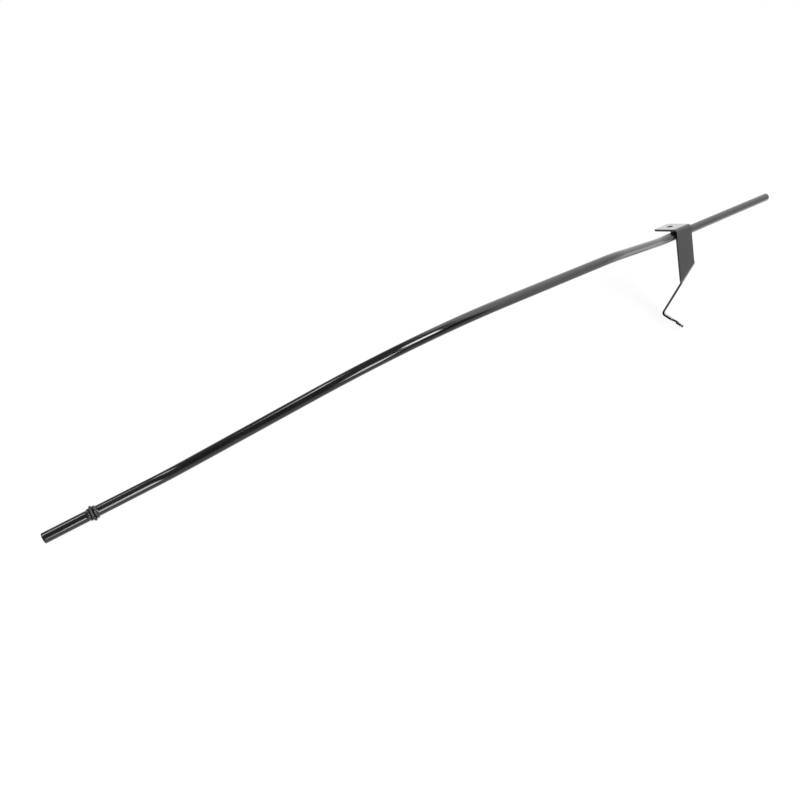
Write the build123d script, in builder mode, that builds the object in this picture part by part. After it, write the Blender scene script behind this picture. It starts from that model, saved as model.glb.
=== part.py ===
from build123d import *
from math import cos, sin, tan, radians
import os

os.makedirs("parts", exist_ok=True)

# Steel tube stock, three eighths of an inch outside
tube_od = 9.5
tube_wall = 0.9
rim_round = 0.3

# How the finished tube lies when it is set down: compass turn and rise of the lower run
lie_heading = -3.662
lie_rise = 13.745
lie_roll = -143.552

# Straight runs of the tube, from bend corner to bend corner, lower end first
lower_run = 112.8
rising_run = 240.1
crest_run = 254.5
falling_run = 123.5
upper_run = 193.0

# Bends between those runs: turn, bend radius, and twist from one bend to the next
foot_turn = 19.66
foot_radius = 95.0
crest_turn = 38.42
crest_radius = 277.0
crest_twist = 176.95
dip_turn = 15.04
dip_radius = 137.0
dip_twist = 3.24
neck_turn = 18.72
neck_radius = 77.0
neck_twist = -179.38

# Two beads that hold the sealing ring near the lower end
seal_station = 43.0
bead_pitch = 2.67
bead_width = 2.3
lower_bead_od = 11.2
upper_bead_od = 11.8

# Sealing ring, stretched on to the tube
ring_section = 2.3
ring_squeeze = 0.15

# Strap bracket: sheet, place on the upper run, and clocking about the tube
strap_width = 25.4
strap_thick = 2.3
strap_station = 16.8
strap_clock = 25.66
braze_gap = 0.15
braze_reach = 2.5
braze_inset = 1.0

# Top flange with its bolt hole, clear of the tube below it
flange_gap = 1.0
flange_length = 31.3
flange_hole = 6.6
flange_hole_reach = 18.8
flange_corner = 3.0
top_inside_radius = 2.0

# Panel below the flange, and the skewed fold at its foot
panel_drop = 61.85
panel_skew = 32.6
panel_fold = 42.6
panel_inside_radius = 5.0

# Leg, and the second skewed fold
leg_length = 47.8
leg_skew = 27.4
leg_fold = 87.0
leg_inside_radius = 2.5

# Foot: a tapered tab with an open bolt slot in its near edge
tab_length = 28.0
tab_taper = 22.0
tab_corner = 4.0
slot_width = 6.6
slot_reach = 15.4
slot_depth = 14.0
slot_lean = 15.0

tube_r = tube_od / 2
bore_r = tube_r - tube_wall


def along(plane, x=0, y=0, z=0):
    """The same plane carried to a point given in its own axes."""
    return plane.moved(Pos(x, y, z))


def turned(plane, y=0, z=0):
    """The same plane turned about its own axes, z first."""
    return plane.moved(Rot(0, 0, z)).moved(Rot(0, y, 0))


def bend(plane, run, twist, turn):
    """Plane at the next bend corner: run on, twist about the run, then turn towards the plane's own x."""
    return turned(along(plane, z=run), y=turn, z=twist)


def folded(plane, radius, angle, side):
    """Sheet plane after a fold of the given middle radius, towards its own z (side 1) or away (side -1)."""
    rise = side * radius * (1 - cos(radians(angle)))
    return turned(along(plane, x=radius * sin(radians(angle)), z=rise), y=-side * angle)


def crease_section(plane):
    """Plane square to the sheet along a crease: x along the crease, y through the sheet."""
    return Plane(plane.origin, x_dir=plane.y_dir, z_dir=plane.x_dir)


# Bend corners of the route, walked from the lower end; each plane looks along its run
low_end = turned(Plane.XY, y=90 - lie_rise, z=lie_heading)
foot_bend = bend(low_end, lower_run, lie_roll, foot_turn)
crest_bend = bend(foot_bend, rising_run, crest_twist, crest_turn)
dip_bend = bend(crest_bend, crest_run, dip_twist, dip_turn)
neck_bend = bend(dip_bend, falling_run, neck_twist, neck_turn)
top_end = along(neck_bend, z=upper_run)


def bend_points(before, corner, turn, radius):
    """Start, middle and end of the arc that rounds a bend corner, tangent to the runs on both sides."""
    reach = radius * tan(radians(turn / 2))
    start = corner.origin - before.z_dir * reach
    end = corner.origin + corner.z_dir * reach
    inward = (end + start) * 0.5 - corner.origin
    middle = corner.origin + inward.normalized() * (radius / cos(radians(turn / 2)) - radius)
    return start, middle, end


foot_arc = bend_points(low_end, foot_bend, foot_turn, foot_radius)
crest_arc = bend_points(foot_bend, crest_bend, crest_turn, crest_radius)
dip_arc = bend_points(crest_bend, dip_bend, dip_turn, dip_radius)
neck_arc = bend_points(dip_bend, neck_bend, neck_turn, neck_radius)

run_side = Plane(low_end.origin, x_dir=low_end.z_dir, z_dir=low_end.y_dir)
run_axis = Axis(low_end.origin, low_end.z_dir)
bead_1 = seal_station - bead_pitch
bead_2 = seal_station + bead_pitch
bead_root = tube_r - tube_wall / 2

# Tube: one bent length, plain at both ends, with two beads raised from its wall
with BuildPart() as tube:
    with BuildLine() as route:
        Line(low_end.origin, foot_arc[0])
        ThreePointArc(*foot_arc)
        Line(foot_arc[2], crest_arc[0])
        ThreePointArc(*crest_arc)
        Line(crest_arc[2], dip_arc[0])
        ThreePointArc(*dip_arc)
        Line(dip_arc[2], neck_arc[0])
        ThreePointArc(*neck_arc)
        Line(neck_arc[2], top_end.origin)
    with BuildSketch(low_end) as stock:
        Circle(tube_r)
        Circle(bore_r, mode=Mode.SUBTRACT)
    sweep(path=route.line)
    rims = tube.edges().filter_by(GeomType.CIRCLE)
    low_rim = rims.sort_by_distance(low_end.origin)[:2]
    top_rim = rims.sort_by_distance(top_end.origin)[:2]
    fillet(low_rim + top_rim, rim_round)
    with BuildSketch(run_side) as beads:
        for station, crown in ((bead_1, lower_bead_od / 2), (bead_2, upper_bead_od / 2)):
            start = station - bead_width / 2
            stop = station + bead_width / 2
            with BuildLine():
                ThreePointArc((start, tube_r), (station, crown), (stop, tube_r))
                Polyline((stop, tube_r), (stop, bead_root), (start, bead_root), (start, tube_r))
            make_face()
    revolve(axis=run_axis)
tube.part.label = "tube"
export_step(tube.part, "parts/tube.step")

# Sealing ring: round section, flattened where it grips the tube
with BuildPart() as o_ring:
    with BuildSketch(run_side) as ring_face:
        with Locations((seal_station, tube_r + ring_section / 2 - ring_squeeze)):
            Circle(ring_section / 2)
        with Locations((seal_station, tube_r)):
            Rectangle(ring_section, tube_od, align=(Align.CENTER, Align.MAX), mode=Mode.SUBTRACT)
    revolve(axis=run_axis)
o_ring.part.label = "o_ring"
export_step(o_ring.part, "parts/o_ring.step")

# Sheet planes of the strap, walked from the seat on the tube: x runs down the strap, y across it
seat = turned(along(neck_bend, z=strap_station), z=strap_clock)
seat_reach = tube_r + braze_gap
flange_seat = tube_r + flange_gap
top_radius = top_inside_radius + strap_thick / 2
top_outside = top_inside_radius + strap_thick
panel_top = seat.from_local_coords((seat_reach + strap_thick / 2, top_inside_radius - flange_seat, 0))
panel = Plane(panel_top, x_dir=seat.y_dir, z_dir=seat.x_dir)
flange = Plane(along(panel, x=-top_radius, z=-top_radius).origin, x_dir=-panel.z_dir, z_dir=panel.x_dir)
flange_flat = flange_length - top_outside
top_axis = Axis(along(panel, z=-top_radius).origin, -panel.y_dir)

panel_radius = panel_inside_radius + strap_thick / 2
panel_reach = panel_radius * tan(radians(panel_fold / 2)) / cos(radians(panel_skew))
panel_flat = panel_drop - top_outside - panel_reach
panel_lean = strap_width * tan(radians(panel_skew))
panel_line = strap_width / cos(radians(panel_skew))
panel_crease = turned(along(panel, x=panel_flat), z=panel_skew)
panel_axis = Axis(along(panel_crease, z=-panel_radius).origin, panel_crease.y_dir)

leg = turned(folded(panel_crease, panel_radius, panel_fold, -1), z=-panel_skew)
leg_radius = leg_inside_radius + strap_thick / 2
leg_reach = leg_radius * tan(radians(leg_fold / 2))
leg_flat = leg_length - panel_reach - leg_reach / cos(radians(leg_skew))
leg_lean = strap_width * tan(radians(leg_skew))
leg_line = strap_width / cos(radians(leg_skew))
leg_crease = turned(along(leg, x=leg_flat), z=-leg_skew)
leg_axis = Axis(along(leg_crease, z=leg_radius).origin, -leg_crease.y_dir)

tab = folded(leg_crease, leg_radius, leg_fold, 1)
tab_flat = tab_length - leg_reach
tab_tip = leg_line - tab_flat * tan(radians(tab_taper))

# Bracket: one strap of sheet folded three times, with the braze that joins it to the tube
with BuildPart() as bracket:
    with BuildSketch(flange) as flange_face:
        Rectangle(flange_flat, strap_width, align=(Align.MIN, Align.MIN))
        fillet(flange_face.vertices().group_by(Axis.X)[-1], flange_corner)
        with Locations((flange_hole_reach - top_outside, strap_width / 2)):
            Circle(flange_hole / 2, mode=Mode.SUBTRACT)
    extrude(amount=strap_thick / 2, both=True)
    with BuildSketch(crease_section(panel)) as top_section:
        Rectangle(strap_width, strap_thick, align=(Align.MIN, Align.CENTER))
    revolve(axis=top_axis, revolution_arc=90)
    with BuildSketch(panel) as panel_face:
        with BuildLine():
            Polyline(
                (0, 0),
                (panel_flat, 0),
                (panel_flat - panel_lean, strap_width),
                (0, strap_width),
                close=True,
            )
        make_face()
    extrude(amount=strap_thick / 2, both=True)
    with BuildSketch(crease_section(panel_crease)) as panel_section:
        Rectangle(panel_line, strap_thick, align=(Align.MIN, Align.CENTER))
    revolve(axis=panel_axis, revolution_arc=panel_fold)
    with BuildSketch(leg) as leg_face:
        with BuildLine():
            Polyline(
                (0, 0),
                (leg_flat, 0),
                (leg_flat + leg_lean, strap_width),
                (-panel_lean, strap_width),
                close=True,
            )
        make_face()
    extrude(amount=strap_thick / 2, both=True)
    with BuildSketch(crease_section(leg_crease)) as leg_section:
        Rectangle(leg_line, strap_thick, align=(Align.MIN, Align.CENTER))
    revolve(axis=leg_axis, revolution_arc=leg_fold)
    with BuildSketch(tab) as tab_face:
        with BuildLine():
            Polyline((0, 0), (tab_flat, 0), (tab_flat, tab_tip), (0, leg_line), close=True)
        make_face()
        fillet(tab_face.vertices().group_by(Axis.X)[-1], tab_corner)
        with Locations((slot_reach - leg_reach, 0)):
            SlotCenterToCenter(2 * slot_depth, slot_width, rotation=90 - slot_lean, mode=Mode.SUBTRACT)
    extrude(amount=strap_thick / 2, both=True)
    with BuildSketch(along(seat, z=braze_inset)) as braze:
        with Locations((seat_reach, -flange_seat)):
            Rectangle(
                seat_reach + braze_reach,
                flange_seat + braze_reach,
                align=(Align.MAX, Align.MIN),
            )
        Circle(tube_r, mode=Mode.SUBTRACT)
    extrude(amount=strap_width - 2 * braze_inset)
bracket.part.label = "bracket"
export_step(bracket.part, "parts/bracket.step")
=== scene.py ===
import bpy
import numpy as np
from mathutils import Matrix, Vector


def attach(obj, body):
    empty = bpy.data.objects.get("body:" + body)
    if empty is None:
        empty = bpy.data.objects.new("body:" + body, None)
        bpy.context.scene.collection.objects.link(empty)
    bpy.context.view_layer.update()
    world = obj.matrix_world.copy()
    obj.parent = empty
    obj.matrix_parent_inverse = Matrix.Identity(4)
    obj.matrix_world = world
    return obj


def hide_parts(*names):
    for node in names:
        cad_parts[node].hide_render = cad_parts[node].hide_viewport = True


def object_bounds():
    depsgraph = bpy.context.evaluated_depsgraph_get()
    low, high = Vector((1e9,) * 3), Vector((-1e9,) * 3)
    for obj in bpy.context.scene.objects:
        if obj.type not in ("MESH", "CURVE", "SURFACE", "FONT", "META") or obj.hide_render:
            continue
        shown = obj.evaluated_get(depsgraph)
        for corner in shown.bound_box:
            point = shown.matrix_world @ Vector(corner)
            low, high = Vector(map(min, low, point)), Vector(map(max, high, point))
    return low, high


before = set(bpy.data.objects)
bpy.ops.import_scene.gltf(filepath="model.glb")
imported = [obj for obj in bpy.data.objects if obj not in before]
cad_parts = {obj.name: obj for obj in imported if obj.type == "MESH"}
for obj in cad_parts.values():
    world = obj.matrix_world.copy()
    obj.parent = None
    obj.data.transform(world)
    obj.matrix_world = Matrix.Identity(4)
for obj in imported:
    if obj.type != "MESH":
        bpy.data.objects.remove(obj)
cad_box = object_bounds()

# Tube
# One length of three eighths inch steel tube, bent cold at four places and open from end to end.
# Two beads are rolled up near its lower end. Black enamel is baked on outside; the bore is bare
# steel past its mouths.

TUBE_R = 0.00475
BORE_R = 0.00385
RIM = 0.0003
RUNS = [0.1128, 0.2401, 0.2545, 0.1235, 0.1930]
TURNS = [19.66, 38.42, 15.04, 18.72]
TWISTS = [-143.552, 176.95, 3.24, -179.38]
RADII = [0.095, 0.277, 0.137, 0.077]
LIE_HEADING = -3.662
LIE_RISE = 13.745
SEAL_STATION = 0.0430
BEAD_PITCH = 0.00267
BEAD_WIDTH = 0.0023
BEAD_CROWNS = [0.0056, 0.0059]
MOUTH_START = 0.002
MOUTH_END = 0.009
ENAMEL_BLACK = (0.004, 0.004, 0.0045, 1)
ENAMEL_WORN = (0.009, 0.009, 0.0095, 1)
NIB_GREY = (0.045, 0.045, 0.046, 1)
NIB_ROUGH = 0.2
NIB_HEIGHT = 0.000018
SAG_HEIGHT = 0.000012
BARE_STEEL = (0.36, 0.34, 0.32, 1)
OILED_STEEL = (0.17, 0.14, 0.11, 1)
DRAW_LINE_SCALE = (1500.0, 1500.0, 25.0)


def turn_about(axis, degrees):
    """3 by 3 turn about one of a frame's own axes, 1 for y and 2 for z, by the right-hand rule."""
    c, s = np.cos(np.radians(degrees)), np.sin(np.radians(degrees))
    if axis == 1:
        return np.array([[c, 0, s], [0, 1, 0], [-s, 0, c]])
    return np.array([[c, -s, 0], [s, c, 0], [0, 0, 1]])


def bent_route(runs, turns, twists, radii, start):
    """The tube's pieces in order, as (bend radius, length, first point, frame, twist so far): a straight
    piece goes along the frame's z; an arc of its radius leaves along z and curls towards the frame's x.
    Each corner-to-corner run loses radius times the tangent of half the turn at each end that is bent."""
    point, axes, lost, twist, pieces = np.zeros(3), start, 0.0, 0.0, []
    for k, run in enumerate(runs):
        reach = radii[k] * np.tan(np.radians(turns[k] / 2)) if k < len(turns) else 0.0
        straight = run - lost - reach
        pieces.append((0.0, straight, point, axes, twist))
        point = point + straight * axes[:, 2]
        if k < len(turns):
            axes = axes @ turn_about(2, twists[k])
            twist += np.radians(twists[k])
            angle = np.radians(turns[k])
            pieces.append((radii[k], radii[k] * angle, point, axes, twist))
            side, ahead = axes[:, 0], axes[:, 2]
            point = point + radii[k] * (np.sin(angle) * ahead + (1 - np.cos(angle)) * side)
            axes = axes @ turn_about(1, turns[k])
        lost = reach
    return pieces


def along_route(pieces, s):
    """Centre points and two cross directions at the distances s along the route: on a straight the point
    is the start plus distance times z; on an arc it is radius times sine of the swept angle along z, and
    radius times one less cosine along x, with the cross direction x turned by that angle. The cross pair is
    then turned back by the twist so far, so that lines drawn along the wall run on unbroken."""
    at = np.zeros(s.shape + (3,))
    across = np.zeros_like(at)
    square = np.zeros_like(at)
    begin = 0.0
    for radius, length, point, axes, twist in pieces:
        here = (s >= begin - 1e-12) & (s <= begin + length + 1e-12)
        d = (s[here] - begin)[:, None]
        x, y, z = axes[:, 0], axes[:, 1], axes[:, 2]
        if radius:
            a = d / radius
            at[here] = point + radius * (np.sin(a) * z + (1 - np.cos(a)) * x)
            side = np.cos(a) * x - np.sin(a) * z
        else:
            at[here] = point + d * z
            side = np.broadcast_to(x, d.shape[:1] + (3,))
        across[here] = np.cos(twist) * side - np.sin(twist) * y
        square[here] = np.sin(twist) * side + np.cos(twist) * y
        begin += length
    return at, across, square


def piece_of(name, points, faces):
    """A smooth-shaded object at the origin from an array of points and a list of faces."""
    mesh = bpy.data.meshes.new(name)
    mesh.from_pydata(points.reshape(-1, 3), [], faces)
    mesh.shade_smooth()
    piece = bpy.data.objects.new(name, mesh)
    bpy.context.scene.collection.objects.link(piece)
    return piece


def grid_quads(rows, columns, wrap_rows, wrap_columns):
    """Quads between the neighbours of a grid of points, closed on itself where asked. For a tube, whose rows
    go along it and whose columns go round it by the right-hand rule, they face outwards."""
    i, j = np.meshgrid(np.arange(rows if wrap_rows else rows - 1),
                       np.arange(columns if wrap_columns else columns - 1), indexing="ij")
    i2, j2 = (i + 1) % rows, (j + 1) % columns
    corners = [i * columns + j, i * columns + j2, i2 * columns + j2, i2 * columns + j]
    return np.stack(corners, axis=-1).reshape(-1, 4)


def carried_round(s, r, count):
    """A closed profile of distances s and radii r, turned round the route's own line in count steps."""
    centre, across, square = along_route(route, s)
    around = np.linspace(0, 2 * np.pi, count, endpoint=False)
    cosine, sine = np.cos(around)[None, :, None], np.sin(around)[None, :, None]
    ring = cosine * across[:, None] + sine * square[:, None]
    return centre[:, None] + r[:, None, None] * ring, around


def bead_bump(s, centre, crown):
    """Height of a rolled bead above the wall: a circle's arc through both its feet and its crown."""
    half = BEAD_WIDTH / 2
    rise = crown - TUBE_R
    arc_r = (half * half + rise * rise) / (2 * rise)
    inside = np.clip(1 - ((s - centre) / arc_r) ** 2, 0, None)
    return np.clip(arc_r * np.sqrt(inside) - (arc_r - rise), 0, None)


def smooth_step(value, low, high):
    """0 below low, 1 above high, and three times the square less twice the cube between them."""
    t = np.clip((value - low) / (high - low), 0, 1)
    return t * t * (3 - 2 * t)


route = bent_route(RUNS, TURNS, TWISTS, RADII, turn_about(2, LIE_HEADING) @ turn_about(1, 90 - LIE_RISE))
ROUTE_LENGTH = sum(p[1] for p in route)
bead_stations = [SEAL_STATION - BEAD_PITCH, SEAL_STATION + BEAD_PITCH]

# The wall's outline: outside going up, over the top rim, down the bore, and round the lower rim
joints_s = np.cumsum([0.0] + [p[1] for p in route])
outer_s = np.unique(np.concatenate([
    np.linspace(RIM, ROUTE_LENGTH - RIM, 420),
    joints_s[1:-1],
    np.concatenate([np.linspace(b - BEAD_WIDTH / 2, b + BEAD_WIDTH / 2, 25) for b in bead_stations]),
]))
outer_r = TUBE_R + sum(bead_bump(outer_s, b, c) for b, c in zip(bead_stations, BEAD_CROWNS))
inner_s = np.unique(np.concatenate([np.linspace(RIM, ROUTE_LENGTH - RIM, 420), joints_s[1:-1]]))[::-1]
quarter = np.linspace(0, np.pi / 2, 7)[1:-1]
top_s = ROUTE_LENGTH - RIM + RIM * np.concatenate([np.sin(quarter), [1, 1], np.sin(quarter[::-1])])
top_r = np.concatenate([
    TUBE_R - RIM + RIM * np.cos(quarter),
    [TUBE_R - RIM, BORE_R + RIM],
    BORE_R + RIM - RIM * np.cos(quarter[::-1])])
wall_s = np.concatenate([outer_s, top_s, inner_s, ROUTE_LENGTH - top_s[::-1]])
wall_r = np.concatenate([outer_r, top_r, np.full(inner_s.shape, BORE_R), top_r[::-1]])
bare = np.concatenate([
    np.zeros(outer_s.size + top_s.size),
    smooth_step(np.minimum(inner_s, ROUTE_LENGTH - inner_s), MOUTH_START, MOUTH_END),
    np.zeros(top_s.size)])
wall, around = carried_round(wall_s, wall_r, 80)
tube = piece_of("tube_wall", wall, grid_quads(wall_s.size, around.size, True, True))

# Each point also keeps its place on the tube before it was bent, and whether the enamel reaches it
straightened = np.stack([
    wall_r[:, None] * np.cos(around), wall_r[:, None] * np.sin(around),
    np.broadcast_to(wall_s[:, None], wall.shape[:2])], axis=-1)
drawn = tube.data.attributes.new("drawn", "FLOAT_VECTOR", "POINT")
drawn.data.foreach_set("vector", straightened.astype(np.float32).ravel())
bare_bore = tube.data.attributes.new("bare_bore", "FLOAT", "POINT")
bare_bore.data.foreach_set("value", np.repeat(bare, around.size).astype(np.float32))


def joined(tree, kind, feeds=(), **settings):
    """A new node of a kind with its settings, and its inputs fed from sockets or set to plain values."""
    node = tree.nodes.new(kind)
    for key, value in settings.items():
        setattr(node, key, value)
    for socket, feed in feeds:
        if isinstance(feed, bpy.types.NodeSocket):
            tree.links.new(feed, node.inputs[socket])
        else:
            node.inputs[socket].default_value = feed
    return node


def maths(tree, kind, a, b):
    """One sum of two values, each a socket or a plain number."""
    return joined(tree, "ShaderNodeMath", [(0, a), (1, b)], operation=kind).outputs[0]


def ramped(tree, value, low, high, to_low=0.0, to_high=1.0):
    """A value eased by a smooth step from low to high, between two levels."""
    feeds = [
        ("Value", value), ("From Min", low), ("From Max", high), ("To Min", to_low), ("To Max", to_high)]
    return joined(tree, "ShaderNodeMapRange", feeds, interpolation_type="SMOOTHSTEP").outputs["Result"]


def mixed(tree, share, a, b):
    """Two colours mixed by a share, each a socket or a plain colour."""
    node = joined(tree, "ShaderNodeMix", data_type="RGBA")
    for socket, feed in ((node.inputs["Factor"], share), (node.inputs[6], a), (node.inputs[7], b)):
        if isinstance(feed, bpy.types.NodeSocket):
            tree.links.new(feed, socket)
        else:
            socket.default_value = feed
    return node.outputs[2]


# Baked enamel: a fine orange peel over slow sags, a few nibs of dust caught in it, and smears of handling
enamel = bpy.data.node_groups.new("baked_enamel", "ShaderNodeTree")
enamel.interface.new_socket("Place", in_out="INPUT", socket_type="NodeSocketVector")
for label in ("Peel Waves", "Peel Depth", "Gloss", "Smear"):
    enamel.interface.new_socket(label, in_out="INPUT", socket_type="NodeSocketFloat")
enamel.interface.new_socket("Colour", in_out="OUTPUT", socket_type="NodeSocketColor")
for label in ("Roughness", "Height"):
    enamel.interface.new_socket(label, in_out="OUTPUT", socket_type="NodeSocketFloat")
given = enamel.nodes.new("NodeGroupInput")
result = enamel.nodes.new("NodeGroupOutput")
place = given.outputs["Place"]
peel = joined(enamel, "ShaderNodeTexNoise", [
    ("Vector", place), ("Scale", given.outputs["Peel Waves"]), ("Detail", 1.5)]).outputs[0]
sag = joined(enamel, "ShaderNodeTexNoise", [("Vector", place), ("Scale", 70.0), ("Detail", 0.0)]).outputs[0]
handled = joined(enamel, "ShaderNodeTexNoise", [
    ("Vector", place), ("Scale", 28.0), ("Detail", 4.0), ("Roughness", 0.62)]).outputs[0]
speck = joined(enamel, "ShaderNodeTexVoronoi", [("Vector", place), ("Scale", 170.0)]).outputs["Distance"]
nib = ramped(enamel, speck, 0.015, 0.055, 1.0, 0.0)
swell = maths(enamel, "MULTIPLY", peel, given.outputs["Peel Depth"])
slow = maths(enamel, "MULTIPLY", sag, SAG_HEIGHT)
raised = maths(enamel, "MULTIPLY", nib, NIB_HEIGHT)
height = maths(enamel, "ADD", maths(enamel, "ADD", swell, slow), raised)
rubbed = ramped(enamel, handled, 0.42, 0.68)
dull = maths(enamel, "MULTIPLY", rubbed, given.outputs["Smear"])
handled_rough = maths(enamel, "ADD", given.outputs["Gloss"], dull)
rough = maths(enamel, "ADD", handled_rough, maths(enamel, "MULTIPLY", nib, NIB_ROUGH))
shade = mixed(enamel, nib, mixed(enamel, rubbed, ENAMEL_BLACK, ENAMEL_WORN), NIB_GREY)
enamel.links.new(shade, result.inputs["Colour"])
enamel.links.new(rough, result.inputs["Roughness"])
enamel.links.new(height, result.inputs["Height"])


def enamelled(name, waves, depth, gloss, smear):
    """A material with the enamel's group placed in it at its own values; gives the material, its tree, its
    shader and the group's node."""
    material = bpy.data.materials.new(name)
    material.use_nodes = True
    tree = material.node_tree
    shader = tree.nodes["Principled BSDF"]
    spot = joined(tree, "ShaderNodeTexCoord").outputs["Object"]
    skin = tree.nodes.new("ShaderNodeGroup")
    skin.node_tree = enamel
    tree.links.new(spot, skin.inputs["Place"])
    for socket, value in (("Peel Waves", waves), ("Peel Depth", depth), ("Gloss", gloss), ("Smear", smear)):
        skin.inputs[socket].default_value = value
    relief = joined(tree, "ShaderNodeBump", [("Distance", 1.0), ("Height", skin.outputs["Height"])])
    tree.links.new(relief.outputs["Normal"], shader.inputs["Normal"])
    tree.links.new(skin.outputs["Colour"], shader.inputs["Base Color"])
    tree.links.new(skin.outputs["Roughness"], shader.inputs["Roughness"])
    return material, tree, shader, skin


tube_paint, tree, shader, skin = enamelled("tube_enamel", 520.0, 0.0000035, 0.10, 0.07)
bore_share = joined(tree, "ShaderNodeAttribute", attribute_name="bare_bore").outputs["Fac"]
drawn_at = joined(tree, "ShaderNodeAttribute", attribute_name="drawn").outputs["Vector"]
drawn_at = joined(tree, "ShaderNodeMapping", [("Vector", drawn_at), ("Scale", DRAW_LINE_SCALE)]).outputs[0]
draw_lines = joined(tree, "ShaderNodeTexNoise", [
    ("Vector", drawn_at), ("Scale", 1.0), ("Detail", 3.0)]).outputs[0]
steel = mixed(tree, ramped(tree, draw_lines, 0.35, 0.65), OILED_STEEL, BARE_STEEL)
tree.links.new(mixed(tree, bore_share, skin.outputs["Colour"], steel), shader.inputs["Base Color"])
steel_rough = maths(tree, "MULTIPLY", bore_share, ramped(tree, draw_lines, 0.3, 0.7, 0.28, 0.42))
tree.links.new(maths(tree, "ADD", skin.outputs["Roughness"], steel_rough), shader.inputs["Roughness"])
tree.links.new(bore_share, shader.inputs["Metallic"])
tube.data.materials.append(tube_paint)
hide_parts("tube")
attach(tube, "root")

# Sealing ring
# A black rubber ring of round section, rolled on over the lower bead and left between the two beads.
# It is a little stretched, so that it sits flat on the tube, and keeps the fine flash line of its
# mould round its outside.

RING_SECTION = 0.0023
RING_SQUEEZE = 0.00015
FLASH_HEIGHT = 0.00005
FLASH_ANGLE = 5.0
GRAIN_HEIGHT = 0.000006
RUBBER_BLACK = (0.010, 0.010, 0.011, 1)
RUBBER_BLOOM = (0.030, 0.030, 0.031, 1)

section = np.linspace(0, 2 * np.pi, 72, endpoint=False)
flash = FLASH_HEIGHT * np.exp(-((np.degrees(section) - 90) / FLASH_ANGLE) ** 2)
ring_s = SEAL_STATION - RING_SECTION / 2 * np.cos(section)
ring_r = TUBE_R + RING_SECTION / 2 - RING_SQUEEZE + (RING_SECTION / 2 + flash) * np.sin(section)
round_seal, around = carried_round(ring_s, np.maximum(TUBE_R, ring_r), 120)
seal = piece_of("seal_ring", round_seal, grid_quads(ring_s.size, around.size, True, True))

rubber = bpy.data.materials.new("seal_rubber")
rubber.use_nodes = True
tree = rubber.node_tree
shader = tree.nodes["Principled BSDF"]
spot = joined(tree, "ShaderNodeTexCoord").outputs["Object"]
grain = joined(tree, "ShaderNodeTexNoise", [("Vector", spot), ("Scale", 4200.0), ("Detail", 3.0)]).outputs[0]
patch = joined(tree, "ShaderNodeTexNoise", [("Vector", spot), ("Scale", 380.0), ("Detail", 4.0)]).outputs[0]
bloom = ramped(tree, patch, 0.45, 0.75)
tree.links.new(mixed(tree, bloom, RUBBER_BLACK, RUBBER_BLOOM), shader.inputs["Base Color"])
tree.links.new(ramped(tree, patch, 0.3, 0.8, 0.38, 0.6), shader.inputs["Roughness"])
grain_height = maths(tree, "MULTIPLY", grain, GRAIN_HEIGHT)
relief = joined(tree, "ShaderNodeBump", [("Distance", 1.0), ("Height", grain_height)])
tree.links.new(relief.outputs["Normal"], shader.inputs["Normal"])
seal.data.materials.append(rubber)
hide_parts("o_ring")
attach(seal, "root")

# Bracket
# One strap of sheet steel, an inch wide, folded three times, twice askew. Its top flange is drilled and
# its foot slotted for bolts, and its edges are deburred. It is brazed to the tube under the top fold and
# enamelled with it.

STRAP_WIDTH = 0.0254
STRAP_THICK = 0.0023
STRAP_STATION = 0.0168
STRAP_CLOCK = 25.66
EDGE_ROUND = 0.0002
BRAZE_GAP = 0.00015
FLANGE_GAP = 0.0010
FLANGE_LENGTH = 0.0313
FLANGE_HOLE = 0.0066
FLANGE_HOLE_REACH = 0.0188
FLANGE_CORNER = 0.003
TOP_INSIDE = 0.002
PANEL_DROP = 0.06185
PANEL_SKEW = 32.6
PANEL_FOLD = 42.6
PANEL_INSIDE = 0.005
LEG_LENGTH = 0.0478
LEG_SKEW = 27.4
LEG_FOLD = 87.0
LEG_INSIDE = 0.0025
TAB_LENGTH = 0.028
TAB_TAPER = 22.0
TAB_CORNER = 0.004
SLOT_WIDTH = 0.0066
SLOT_REACH = 0.0154
SLOT_DEPTH = 0.014
SLOT_LEAN = 15.0

HALF = STRAP_THICK / 2
seat_reach = TUBE_R + BRAZE_GAP
flange_seat = TUBE_R + FLANGE_GAP
top_radius = TOP_INSIDE + HALF
top_outside = TOP_INSIDE + STRAP_THICK
panel_radius = PANEL_INSIDE + HALF
leg_radius = LEG_INSIDE + HALF
panel_reach = panel_radius * np.tan(np.radians(PANEL_FOLD / 2)) / np.cos(np.radians(PANEL_SKEW))
leg_reach = leg_radius * np.tan(np.radians(LEG_FOLD / 2))
flange_flat = FLANGE_LENGTH - top_outside
panel_flat = PANEL_DROP - top_outside - panel_reach
panel_line = STRAP_WIDTH / np.cos(np.radians(PANEL_SKEW))
panel_lean = STRAP_WIDTH * np.tan(np.radians(PANEL_SKEW))
leg_flat = LEG_LENGTH - panel_reach - leg_reach / np.cos(np.radians(LEG_SKEW))
leg_line = STRAP_WIDTH / np.cos(np.radians(LEG_SKEW))
leg_lean = STRAP_WIDTH * np.tan(np.radians(LEG_SKEW))
tab_flat = TAB_LENGTH - leg_reach
tab_slope = np.tan(np.radians(TAB_TAPER))


def carried(frame_at, x=0.0, y=0.0, z=0.0):
    """A frame (point, axes) carried to a point given in its own axes."""
    point, axes = frame_at
    return point + axes @ np.array([x, y, z]), axes


def swung(frame_at, axis, degrees):
    """A frame turned about one of its own axes."""
    point, axes = frame_at
    return point, axes @ turn_about(axis, degrees)


def flat_rows(frame_at, near, far):
    """Rows of a flat: the near and far points (x, y) of each row in the sheet's plane, and its normal."""
    point, axes = frame_at
    place = [point + np.asarray(ends) @ axes[:, :2].T for ends in (near, far)]
    return place[0], place[1], np.broadcast_to(axes[:, 2], place[0].shape)


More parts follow.
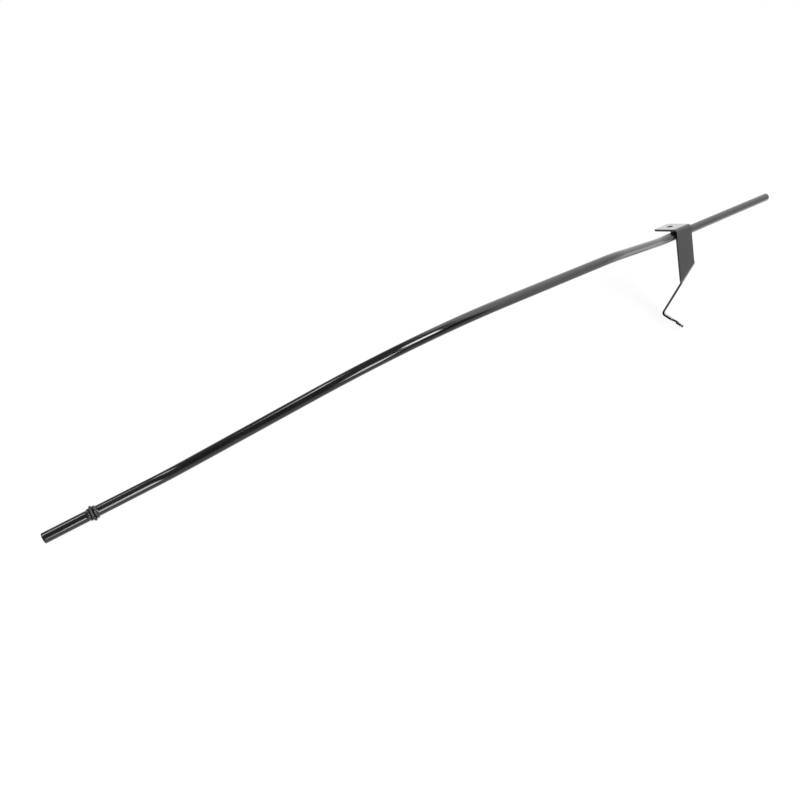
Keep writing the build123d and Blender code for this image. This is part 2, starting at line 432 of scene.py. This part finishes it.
def fold_rows(frame_at, radius, degrees, side, line, count):
    """Rows of a fold about a crease that runs along y: at each swept angle a row of length line stands
    radius times its sine along x, and radius times one less its cosine towards z (side 1) or away from it
    (side -1). Gives the rows without the first and last, and the frame after the fold."""
    point, axes = frame_at
    a = np.linspace(0, np.radians(degrees), count)[1:-1, None]
    x, y, z = axes[:, 0], axes[:, 1], axes[:, 2]
    near = point + radius * (np.sin(a) * x + side * (1 - np.cos(a)) * z)
    normal = np.cos(a) * z - side * np.sin(a) * x
    end = np.radians(degrees)
    after = carried(frame_at, x=radius * np.sin(end), z=side * radius * (1 - np.cos(end)))
    return (near, near + line * y, normal), swung(after, 1, -side * degrees)


def corner_inset(t, corner):
    """How far a rounded corner's arc stands in from the side, at a distance t from the strap's end."""
    return corner - np.sqrt(np.clip(corner ** 2 - np.clip(corner - t, 0, None) ** 2, 0, None))


neck_reach = RADII[3] * np.tan(np.radians(TURNS[3] / 2))
upper_point, upper_axes = route[-1][2], route[-1][3]
seat = swung(carried((upper_point, upper_axes), z=STRAP_STATION - neck_reach), 2, STRAP_CLOCK)
seat_x, seat_y, seat_z = seat[1][:, 0], seat[1][:, 1], seat[1][:, 2]
panel_at = carried(seat, x=seat_reach + HALF, y=TOP_INSIDE - flange_seat)[0]
panel = (panel_at, np.stack([seat_y, seat_z, seat_x], axis=1))
flange_at = carried(panel, x=-top_radius, z=-top_radius)[0]
flange = (flange_at, np.stack([seat_x, seat_z, -seat_y], axis=1))

# The strap is walked from the flange's tip to the foot's tip, with close rows at rounded ends and in folds
end_turn = np.linspace(np.pi / 2, 0, 6)
tip_t = EDGE_ROUND * (1 - np.sin(end_turn))
corner_turn = np.linspace(0, np.pi / 2, 12)
flange_arc_t = FLANGE_CORNER * (1 - np.cos(corner_turn[3:]))
flange_t = np.unique(np.concatenate([tip_t, flange_arc_t, [flange_flat / 2, flange_flat]]))
flange_t = flange_t[(flange_t <= EDGE_ROUND + 1e-9) | (flange_t > 1.5 * EDGE_ROUND)]
inset = corner_inset(flange_t, FLANGE_CORNER)
rows = [flat_rows(flange, np.stack([flange_t - flange_flat, inset], axis=1),
                  np.stack([flange_t - flange_flat, STRAP_WIDTH - inset], axis=1))]
top_fold, _ = fold_rows(flange, top_radius, 90, -1, STRAP_WIDTH, 18)
rows.append(top_fold)

share = np.linspace(0, 1, 7)
near_x, far_x = share * panel_flat, share * (panel_flat - panel_lean)
near_side, far_side = 0 * share, 0 * share + STRAP_WIDTH
rows.append(flat_rows(panel, np.stack([near_x, near_side], axis=1), np.stack([far_x, far_side], axis=1)))
panel_crease = swung(carried(panel, x=panel_flat), 2, PANEL_SKEW)
low_fold, leg = fold_rows(panel_crease, panel_radius, PANEL_FOLD, -1, panel_line, 14)
rows.append(low_fold)

leg = swung(leg, 2, -PANEL_SKEW)
near_x, far_x = share * leg_flat, share * (leg_flat + leg_lean + panel_lean) - panel_lean
rows.append(flat_rows(leg, np.stack([near_x, near_side], axis=1), np.stack([far_x, far_side], axis=1)))
leg_crease = swung(carried(leg, x=leg_flat), 2, -LEG_SKEW)
foot_fold, tab = fold_rows(leg_crease, leg_radius, LEG_FOLD, 1, leg_line, 18)
rows.append(foot_fold)

# The foot's near corner is square and its far one blunt; the far arc starts where it meets the taper
tab_arc_t = TAB_CORNER * (1 - np.cos(corner_turn[2:]))
tab_t = np.unique(np.concatenate([tip_t, tab_arc_t, [tab_flat * 0.4, tab_flat * 0.7, tab_flat]]))
tab_t = tab_t[(tab_t <= EDGE_ROUND + 1e-9) | (tab_t > 1.5 * EDGE_ROUND)][::-1]
tab_x = tab_flat - tab_t
arc_x = tab_flat - TAB_CORNER
touch_x = arc_x + TAB_CORNER * np.sin(np.radians(TAB_TAPER))
arc_y = leg_line - touch_x * tab_slope - TAB_CORNER * np.cos(np.radians(TAB_TAPER))
arc_edge = arc_y + np.sqrt(np.clip(TAB_CORNER ** 2 - (tab_x - arc_x) ** 2, 0, None))
far_y = np.where(tab_x > touch_x, arc_edge, leg_line - tab_x * tab_slope)
near_y = corner_inset(tab_t, TAB_CORNER)
rows.append(flat_rows(tab, np.stack([tab_x, near_y], axis=1), np.stack([tab_x, far_y], axis=1)))
near, far, normal = (np.concatenate([r[k] for r in rows]) for k in range(3))

# Half the sheet's thickness at each row: full, but eased by a quarter round over the two ends
ends_t = np.full(len(near), 1.0)
ends_t[:flange_t.size] = flange_t
ends_t[-tab_t.size:] = tab_t
half_at = HALF - corner_inset(ends_t, EDGE_ROUND)

# One turn round the strap's section: across the outside, round the far edge, back, and round the near edge
lane = np.linspace(0, 1, 24)
quarter = np.linspace(0, np.pi / 2, 6)[1:]
quarter_on = quarter - quarter[0]
lane_share = np.concatenate([lane, np.ones(10), lane[::-1], np.zeros(10)])
edge_out = np.concatenate([np.sin(quarter), np.cos(quarter_on)])
lane_out = EDGE_ROUND * np.concatenate([0 * lane, edge_out, 0 * lane, -edge_out])
edge_through = np.concatenate([
    HALF - EDGE_ROUND * (1 - np.cos(quarter)), -HALF + EDGE_ROUND * (1 - np.sin(quarter_on))])
through = np.concatenate([0 * lane + HALF, edge_through, 0 * lane - HALF, -edge_through])
length = np.linalg.norm(far - near, axis=1)
ruling = (far - near) / length[:, None]
v = EDGE_ROUND + lane_share[None] * (length[:, None] - 2 * EDGE_ROUND) + lane_out[None]
w = through[None] * (half_at / HALF)[:, None]
sheet = near[:, None] + v[..., None] * ruling[:, None] + w[..., None] * normal[:, None]
turns = lane_share.size
caps = [list(range(turns)), list(range((len(near) - 1) * turns, len(near) * turns))[::-1]]
sides = grid_quads(len(near), turns, False, True)[:, ::-1].tolist()
strap = piece_of("strap", sheet, sides + caps)


def drill(frame_at, centre, lean, half_length, width, name):
    """A tool for a round hole or a slot: a capsule outline of the given width, through the sheet, that
    widens near both faces by the edge's rounding."""
    height = HALF * np.array([-2, -1, -0.96, -0.88, -0.8, -0.7, 0.7, 0.8, 0.88, 0.96, 1, 2])
    deep = np.clip((np.abs(height) - HALF + EDGE_ROUND) * 0.97, 0, EDGE_ROUND * 0.97)
    reach = width / 2 + EDGE_ROUND - np.sqrt(EDGE_ROUND ** 2 - deep ** 2)
    turn = np.linspace(0, 2 * np.pi, 64, endpoint=False)
    shift = np.where(np.sin(turn) >= 0, half_length, -half_length)
    outline = np.stack([
        np.broadcast_to(reach[:, None] * np.cos(turn), (height.size, turn.size)),
        reach[:, None] * np.sin(turn) + shift,
        np.broadcast_to(height[:, None], (height.size, turn.size))], axis=-1)
    point, axes = swung(carried(frame_at, x=centre[0], y=centre[1]), 2, -lean)
    count = turn.size
    lids = [list(range(count))[::-1], list(range((height.size - 1) * count, height.size * count))]
    quads = grid_quads(height.size, count, False, True).tolist()
    return piece_of(name, point + outline @ axes.T, quads + lids)


hole_x = -(FLANGE_HOLE_REACH - top_outside)
tools = [
    drill(flange, (hole_x, STRAP_WIDTH / 2), 0.0, 0.0, FLANGE_HOLE, "flange_drill"),
    drill(tab, (SLOT_REACH - leg_reach, 0.0), SLOT_LEAN, SLOT_DEPTH, SLOT_WIDTH, "slot_mill")]
for tool in tools:
    cut = strap.modifiers.new(tool.name, "BOOLEAN")
    cut.operation = "DIFFERENCE"
    cut.solver = "EXACT"
    cut.object = tool
cut_strap = strap.evaluated_get(bpy.context.evaluated_depsgraph_get())
whole = strap.data
strap.data = bpy.data.meshes.new_from_object(cut_strap)
strap.modifiers.clear()
bpy.data.meshes.remove(whole)
for tool in tools:
    bpy.data.objects.remove(tool)
strap.data.name = "strap"
strap.data.shade_smooth()
even = strap.modifiers.new("even_normals", "WEIGHTED_NORMAL")
even.mode = "FACE_AREA"
even.weight = 80

strap_paint = enamelled("strap_enamel", 430.0, 0.000004, 0.14, 0.09)[0]
strap.data.materials.clear()
strap.data.materials.append(strap_paint)
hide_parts("bracket")
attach(strap, "root")

# Braze
# Filler run in between the tube and the strap's top fold. It wets the flange, the panel and the tube,
# and its two open sides are hollow fillets.

BRAZE_REACH = 0.0025
BRAZE_INSET = 0.0010
BRAZE_SINK = 0.0002
BRAZE_HOLLOW = 0.0006
BRAZE_END = 0.0008
BRAZE_EASE = 0.07


def hollow_side(start, end, towards, depth, count):
    """Points from start to end on a line that is drawn towards one side by depth times a sine."""
    t = np.linspace(0, 1, count)[:, None]
    return start + t * (end - start) + depth * np.sin(np.pi * t) * towards


tube_far = np.sqrt(TUBE_R ** 2 - BRAZE_REACH ** 2)
sunk_r = TUBE_R - BRAZE_SINK
flange_side = hollow_side(
    np.array([-BRAZE_REACH, -flange_seat - BRAZE_SINK]), np.array([-BRAZE_REACH, -tube_far]),
    np.array([1.0, 0.0]), BRAZE_HOLLOW, 10)
panel_side = hollow_side(
    np.array([tube_far, BRAZE_REACH]), np.array([seat_reach + BRAZE_SINK, BRAZE_REACH]),
    np.array([0.0, -1.0]), BRAZE_HOLLOW, 8)
sweep = np.linspace(np.arctan2(-tube_far, -BRAZE_REACH), np.arctan2(BRAZE_REACH, tube_far), 36)
corner = np.array([[seat_reach + BRAZE_SINK, -flange_seat - BRAZE_SINK]])
outline = np.concatenate([
    flange_side, sunk_r * np.stack([np.cos(sweep), np.sin(sweep)], axis=1), panel_side, corner])
end_turn = np.linspace(0, np.pi / 2, 5)
step_z = BRAZE_END * (1 - np.sin(end_turn))[::-1]
shrink = 1 - BRAZE_EASE * (1 - np.cos(end_turn[::-1]))[::-1]
braze_z = np.concatenate([BRAZE_INSET + step_z, STRAP_WIDTH - BRAZE_INSET - step_z[::-1]])
scale = np.concatenate([shrink, shrink[::-1]])
fill = corner + scale[:, None, None] * (outline - corner)
fill = np.concatenate([fill, np.broadcast_to(braze_z[:, None, None], fill.shape[:2] + (1,))], axis=-1)
count = len(outline)
ends = [list(range(count)), list(range((braze_z.size - 1) * count, braze_z.size * count))[::-1]]
sides = grid_quads(braze_z.size, count, False, True)[:, ::-1].tolist()
braze = piece_of("braze_fillet", seat[0] + fill @ seat[1].T, sides + ends)
braze_paint = enamelled("braze_enamel", 300.0, 0.00003, 0.2, 0.12)[0]
braze.data.materials.append(braze_paint)
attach(braze, "root")

# Floor, light and camera
# A white sheet lies under the part. A tall pale screen stands on the upper end's side, and three softboxes
# give the thin lights along the tube; the rest of the room is dim.

FLOOR_Z = float(cad_box[0][2])
FLOOR_CENTRE = np.array([0.4, 0.0])
FLOOR_HALF = 6.0
PAPER_GLOW = 0.92
corners = np.array([[-1, -1], [1, -1], [1, 1], [-1, 1]]) * FLOOR_HALF + FLOOR_CENTRE
floor = piece_of("floor", np.concatenate([corners, np.full((4, 1), FLOOR_Z)], axis=1), [[0, 1, 2, 3]])
paper = bpy.data.materials.new("white_paper")
paper.use_nodes = True
tree = paper.node_tree
tree.nodes.clear()
ray = joined(tree, "ShaderNodeLightPath")
spot = joined(tree, "ShaderNodeTexCoord").outputs["Object"]
axis = joined(tree, "ShaderNodeSeparateXYZ", [(0, spot)])
# Seen in the tube's gloss, the floor glows dimmer in front and brighter on its lit sides: this is painted
# light on the floor, not a lamp
fore = ramped(tree, axis.outputs["Y"], -0.60, -0.12, 0.45, 1.0)
lit_side = ramped(tree, axis.outputs["X"], 0.70, 1.05)
lit = maths(tree, "MAXIMUM", lit_side, ramped(tree, axis.outputs["Y"], 0.25, 0.9))
mirrored = maths(tree, "ADD", fore, maths(tree, "MULTIPLY", lit, 1.2))
mirrored = maths(tree, "MULTIPLY", ray.outputs["Is Glossy Ray"], mirrored)
strength = maths(tree, "ADD", ray.outputs["Is Camera Ray"], mirrored)
strength = maths(tree, "MAXIMUM", strength, ray.outputs["Is Transmission Ray"])
glow = joined(tree, "ShaderNodeEmission", [("Strength", strength)])
flat = joined(tree, "ShaderNodeBsdfDiffuse", [("Color", (0.9, 0.9, 0.9, 1))])
seen = maths(tree, "MAXIMUM", ray.outputs["Is Camera Ray"], ray.outputs["Is Glossy Ray"])
blend = joined(tree, "ShaderNodeMixShader", [
    (0, maths(tree, "MULTIPLY", seen, PAPER_GLOW)), (1, flat.outputs[0]), (2, glow.outputs[0])])
joined(tree, "ShaderNodeOutputMaterial", [("Surface", blend.outputs[0])])
floor.data.materials.append(paper)

SCREEN_LEFT = 72.0
SCREEN_RIGHT = 48.0
EDGE_BLUR = 0.1
world = bpy.data.worlds.new("studio")
bpy.context.scene.world = world
world.use_nodes = True
tree = world.node_tree
look = joined(tree, "ShaderNodeTexCoord").outputs["Generated"]
axis = joined(tree, "ShaderNodeSeparateXYZ", [(0, look)])
x, y, z = (axis.outputs[k] for k in "XYZ")


def beside(degrees):
    """How far a direction stands inside an upright edge of the screen: the level sine of the angle to it."""
    s, c = float(np.sin(np.radians(degrees))), float(np.cos(np.radians(degrees)))
    along_y = maths(tree, "MULTIPLY", y, -c if s > 0 else c)
    return maths(tree, "ADD", maths(tree, "MULTIPLY", x, abs(s)), along_y)


left_edge = ramped(tree, beside(SCREEN_LEFT), -EDGE_BLUR, EDGE_BLUR)
right_edge = ramped(tree, beside(-SCREEN_RIGHT), -EDGE_BLUR, EDGE_BLUR)
edges = maths(tree, "MULTIPLY", left_edge, right_edge)
edges = maths(tree, "MULTIPLY", edges, ramped(tree, z, 0.89, 0.965, 1.0, 0.0))
level = maths(tree, "ADD", maths(tree, "MULTIPLY", maths(tree, "MAXIMUM", z, 0.0), 1.3), 1.15)
dim = maths(tree, "MAXIMUM", ramped(tree, y, -0.2, 0.6), ramped(tree, z, 0.75, 0.95))
dim = maths(tree, "ADD", maths(tree, "MULTIPLY", dim, 0.22), 0.12)
room = maths(tree, "ADD", dim, maths(tree, "MULTIPLY", edges, level))
ray = joined(tree, "ShaderNodeLightPath")
seen = maths(tree, "MULTIPLY", ray.outputs["Is Glossy Ray"], room)
soft = maths(tree, "MULTIPLY", ray.outputs["Is Diffuse Ray"], 0.4)
white = maths(tree, "MAXIMUM", ray.outputs["Is Camera Ray"], ray.outputs["Is Transmission Ray"])
sky = tree.nodes["Background"]
sky.inputs["Color"].default_value = (1, 1, 1, 1)
tree.links.new(maths(tree, "ADD", maths(tree, "ADD", seen, soft), white), sky.inputs["Strength"])


def softbox(name, azimuth, elevation, wide, tall, level, centre=(0.3, -0.03, 0.1), far=5.0):
    """A rectangular lamp of the given brightness in a direction from a point, its size given as angles."""
    az, el = np.radians(azimuth), np.radians(elevation)
    away = np.array([np.cos(el) * np.cos(az), np.cos(el) * np.sin(az), np.sin(el)])
    where = np.array(centre) + far * away
    lamp = bpy.data.lights.new(name, "AREA")
    lamp.shape = "RECTANGLE"
    lamp.size, lamp.size_y = (float(2 * far * np.tan(np.radians(a / 2))) for a in (wide, tall))
    lamp.energy = level * np.pi * lamp.size * lamp.size_y
    stand = bpy.data.objects.new(name, lamp)
    stand.location = where
    stand.rotation_euler = (Vector(centre) - Vector(where)).to_track_quat("-Z", "Y").to_euler()
    bpy.context.scene.collection.objects.link(stand)


softbox("back_lamp", 134, 50, 24, 10, 10, centre=(0.12, 0.0, 0.05), far=3.0)
softbox("front_lamp", 257, 18, 19, 30, 12)
softbox("overhead_lamp", 279, 56, 17, 27, 19)

EYE = (-0.004938, -0.473308, 0.556414)
RIGHTWARD = (0.836875, -0.54227, 0.07472)
DOWNWARD = (-0.328722, -0.607005, -0.723524)
FORWARD = (0.437701, 0.580937, -0.686243)
lens = bpy.data.cameras.new("camera")
lens.sensor_width = 36
lens.lens = 36
lens.clip_end = 50
lens.shift_x = -0.5 / 800
lens.shift_y = 0.5 / 800
eye = bpy.data.objects.new("camera", lens)
pose = np.eye(4)
pose[:3] = np.stack([RIGHTWARD, -np.array(DOWNWARD), -np.array(FORWARD), EYE], axis=1)
eye.matrix_world = Matrix(pose.tolist())
bpy.context.scene.collection.objects.link(eye)
bpy.context.scene.camera = eye
bpy.context.scene.view_settings.view_transform = "Standard"
